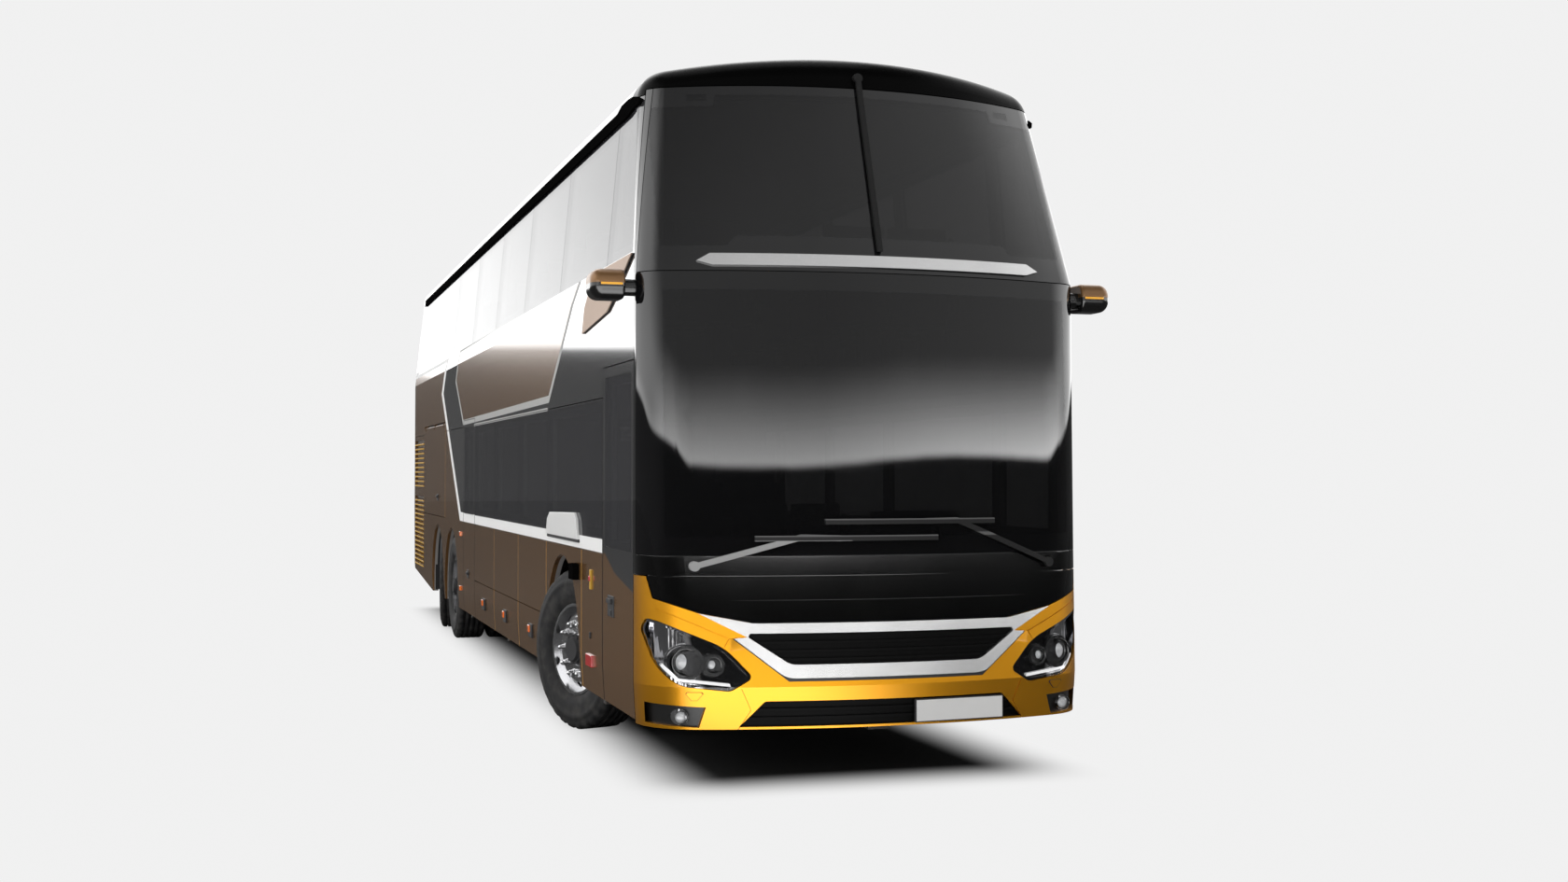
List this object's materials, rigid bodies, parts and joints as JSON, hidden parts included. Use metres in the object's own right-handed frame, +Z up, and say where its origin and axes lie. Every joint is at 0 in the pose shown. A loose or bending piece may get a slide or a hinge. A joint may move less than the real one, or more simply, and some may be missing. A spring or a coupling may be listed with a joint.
{
  "type": "double-deck touring coach",
  "caption": "Long double-deck touring coach with bowed two-part windscreen, steered front and tag wheels, twin drive wheels, swing-out doors and lifting flaps.",
  "frame": {"origin": "on the ground, at the middle of the length and width", "axes": "front faces -Y, door side is -X, +Z up"},
  "size_m": [3.04, 13.9998, 3.9999],
  "materials": {
    "body_paint": "gloss",
    "roof_paint": "gloss",
    "gloss_black": "gloss",
    "black_steel": "satin",
    "matte_black": "satin",
    "chrome": "polished",
    "tinted_glass": "gloss",
    "lamp_glass": "gloss",
    "lamp_red": "gloss",
    "cast_iron": "matte",
    "floor_cover": "matte",
    "seat_fabric": "matte",
    "tyre": "matte",
    "polished_alloy": "polished"
  },
  "bodies": {
    "coach_body": {"underframe": "black_steel", "lower_floor": "floor_cover", "upper_floor": "floor_cover", "side_wall_upper_right": "body_paint", "side_wall_upper_left": "body_paint", "side_wall_lower_right": "body_paint", "side_wall_lower_left": "body_paint", "skirt_panels": "body_paint", "roof_shell": "roof_paint", "roof_front_cap": "gloss_black", "rear_wall": "body_paint", "rear_bumper": "body_paint", "rear_lamps": "lamp_red", "front_frame": "black_steel", "front_mask": "gloss_black", "front_bumper": "body_paint", "front_grille": "gloss_black", "front_trim": "chrome", "front_lamps": "gloss_black", "headlamp_covers": "lamp_glass", "windscreen_lower": "tinted_glass", "windscreen_upper": "tinted_glass", "side_glass_right": "tinted_glass", "side_glass_left": "tinted_glass", "rear_window": "tinted_glass", "mirrors": "matte_black", "wipers": "matte_black", "seats": "seat_fabric", "dashboard": "matte_black", "engine_block": "cast_iron", "front_axle": "black_steel", "drive_axle": "black_steel", "tag_axle": "black_steel"},
    "front_knuckle_right": {"front_knuckle_right": "black_steel"},
    "front_wheel_right": {"front_tyre_right": "tyre", "front_rim_right": "polished_alloy"},
    "front_knuckle_left": {"front_knuckle_left": "black_steel"},
    "front_wheel_left": {"front_tyre_left": "tyre", "front_rim_left": "polished_alloy"},
    "tag_knuckle_right": {"tag_knuckle_right": "black_steel"},
    "tag_wheel_right": {"tag_tyre_right": "tyre", "tag_rim_right": "polished_alloy"},
    "tag_knuckle_left": {"tag_knuckle_left": "black_steel"},
    "tag_wheel_left": {"tag_tyre_left": "tyre", "tag_rim_left": "polished_alloy"},
    "drive_wheels_right": {"drive_tyres_right": "tyre", "drive_rims_right": "polished_alloy"},
    "drive_wheels_left": {"drive_tyres_left": "tyre", "drive_rims_left": "polished_alloy"},
    "front_door_arm": {"front_door_arm": "black_steel"},
    "front_door": {"front_door": "body_paint", "front_door_glass": "tinted_glass"},
    "rear_door_arm": {"rear_door_arm": "black_steel"},
    "rear_door": {"rear_door": "body_paint", "rear_door_glass": "tinted_glass"},
    "luggage_flap_right": {"luggage_flap_right": "body_paint"},
    "luggage_flap_left": {"luggage_flap_left": "body_paint"},
    "engine_flap": {"engine_flap": "body_paint"}
  },
  "joints": [
    {"name": "front_steer_right", "type": "hinge", "parent": "coach_body", "child": "front_knuckle_right", "pos_m": [-1.01, -4.2, 0.522], "axis": [0, 0, 1], "range_deg": [-62, 22]},
    {"name": "front_spin_right", "type": "hinge", "parent": "front_knuckle_right", "child": "front_wheel_right", "pos_m": [-1.08236, -4.22634, 0.522], "axis": [0.9397, 0.342, 0], "continuous": true},
    {"name": "front_steer_left", "type": "hinge", "parent": "coach_body", "child": "front_knuckle_left", "pos_m": [1.01, -4.2, 0.522], "axis": [0, 0, 1], "range_deg": [-62, 22]},
    {"name": "front_spin_left", "type": "hinge", "parent": "front_knuckle_left", "child": "front_wheel_left", "pos_m": [1.08236, -4.17366, 0.522], "axis": [0.9397, 0.342, 0], "continuous": true},
    {"name": "tag_steer_right", "type": "hinge", "parent": "coach_body", "child": "tag_knuckle_right", "pos_m": [-1.01, 3.85, 0.522], "axis": [0, 0, 1], "range_deg": [-8.8, 24.8]},
    {"name": "tag_spin_right", "type": "hinge", "parent": "tag_knuckle_right", "child": "tag_wheel_right", "pos_m": [-1.08625, 3.86072, 0.522], "axis": [0.9903, -0.1392, 0], "continuous": true},
    {"name": "tag_steer_left", "type": "hinge", "parent": "coach_body", "child": "tag_knuckle_left", "pos_m": [1.01, 3.85, 0.522], "axis": [0, 0, 1], "range_deg": [-8.8, 24.8]},
    {"name": "tag_spin_left", "type": "hinge", "parent": "tag_knuckle_left", "child": "tag_wheel_left", "pos_m": [1.08625, 3.83928, 0.522], "axis": [0.9903, -0.1392, 0], "continuous": true},
    {"name": "drive_spin_right", "type": "hinge", "parent": "coach_body", "child": "drive_wheels_right", "pos_m": [-1.105, 2.5, 0.522], "axis": [1, 0, 0], "continuous": true},
    {"name": "drive_spin_left", "type": "hinge", "parent": "coach_body", "child": "drive_wheels_left", "pos_m": [1.105, 2.5, 0.522], "axis": [1, 0, 0], "continuous": true},
    {"name": "front_door_swing", "type": "hinge", "parent": "coach_body", "child": "front_door_arm", "pos_m": [-1.148, -6.265, 1.2], "axis": [0, 0, 1], "range_deg": [0, 140]},
    {"name": "front_door_leaf", "type": "hinge", "parent": "front_door_arm", "child": "front_door", "pos_m": [-1.1846, -5.8466, 1.2], "axis": [0, 0, 1], "range_deg": [-140, 0]},
    {"name": "rear_door_swing", "type": "hinge", "parent": "coach_body", "child": "rear_door_arm", "pos_m": [-1.148, 0.768, 1.2], "axis": [0, 0, 1], "range_deg": [0, 140]},
    {"name": "rear_door_leaf", "type": "hinge", "parent": "rear_door_arm", "child": "rear_door", "pos_m": [-1.1846, 1.1864, 1.2], "axis": [0, 0, 1], "range_deg": [-140, 0]},
    {"name": "luggage_flap_right_hinge", "type": "hinge", "parent": "coach_body", "child": "luggage_flap_right", "pos_m": [-1.26, 4.25, 2.188], "axis": [0, 1, 0], "range_deg": [0, 95]},
    {"name": "luggage_flap_left_hinge", "type": "hinge", "parent": "coach_body", "child": "luggage_flap_left", "pos_m": [1.26, 4.25, 2.188], "axis": [0, -1, 0], "range_deg": [0, 95]},
    {"name": "engine_flap_hinge", "type": "hinge", "parent": "coach_body", "child": "engine_flap", "pos_m": [0, 6.968, 1.794], "axis": [1, 0, 0], "range_deg": [0, 95]}
  ],
  "couplings": [
    {"joint": "front_steer_left", "follows": "front_steer_right", "ratio": 1},
    {"joint": "tag_steer_right", "follows": "front_steer_right", "ratio": -0.4},
    {"joint": "tag_steer_left", "follows": "front_steer_right", "ratio": -0.4},
    {"joint": "front_door_leaf", "follows": "front_door_swing", "ratio": -1},
    {"joint": "rear_door_leaf", "follows": "rear_door_swing", "ratio": -1}
  ]
}
